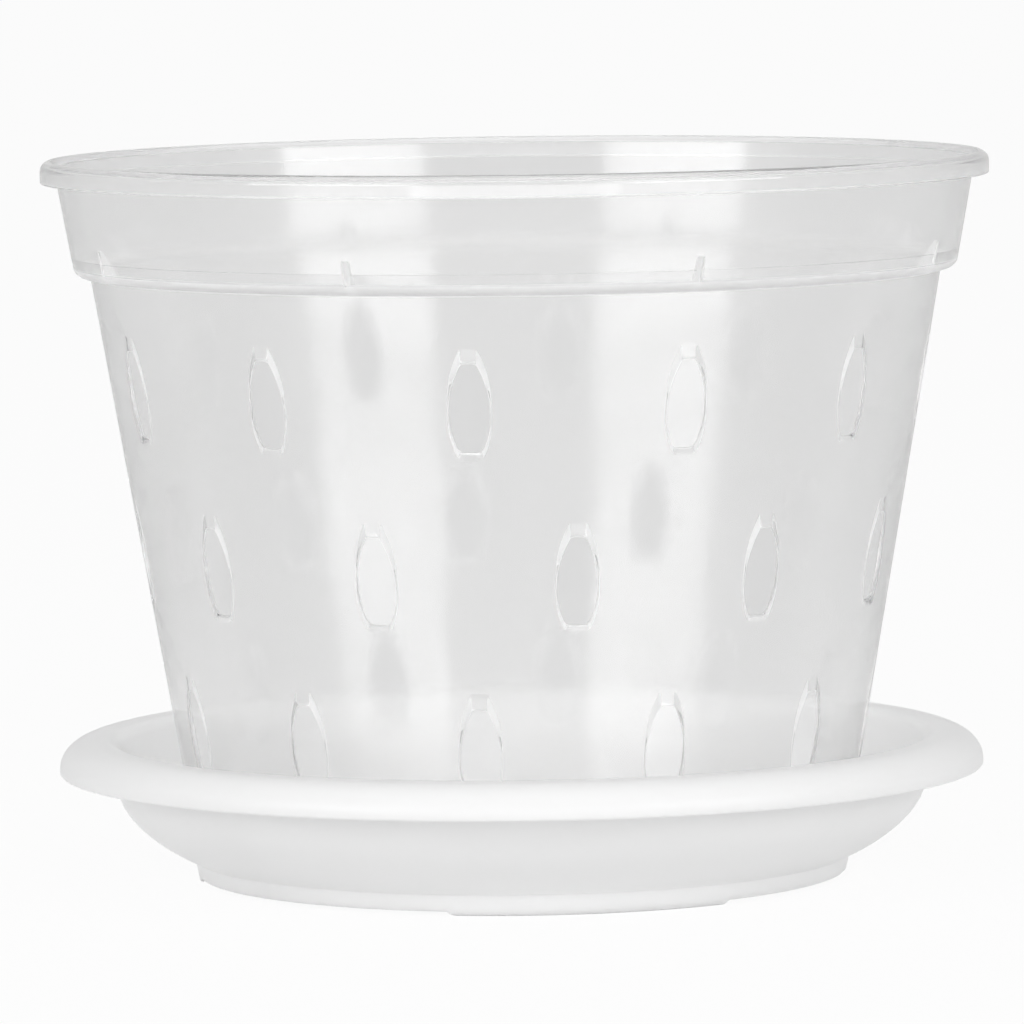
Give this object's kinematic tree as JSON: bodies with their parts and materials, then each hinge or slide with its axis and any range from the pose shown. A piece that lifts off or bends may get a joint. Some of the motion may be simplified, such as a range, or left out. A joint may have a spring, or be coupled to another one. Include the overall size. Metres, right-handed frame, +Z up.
{
  "type": "orchid pot",
  "caption": "Clear tapered orchid pot with pointed oval air slots, stepped collar and turned-down lip, loose in a milky rolled-rim drip saucer.",
  "frame": {"origin": "centre of the plane that the saucer's foot pads stand on", "axes": "+Z up along the axis of the pot and saucer; -Y is the front, where one slot of the top row faces straight out"},
  "size_m": [0.15, 0.15, 0.1145],
  "materials": {
    "clear_plastic": "clear, lightly hazed polypropylene",
    "milky_plastic": "milky, half-clear polypropylene, satin"
  },
  "bodies": {
    "saucer": {"saucer": "milky_plastic"},
    "pot": {"pot": "clear_plastic"}
  },
  "joints": [
    {"name": "pot_lift", "type": "slide", "parent": "saucer", "child": "pot", "axis": [0, 0, 1], "range_m": [0, 0.06]}
  ]
}
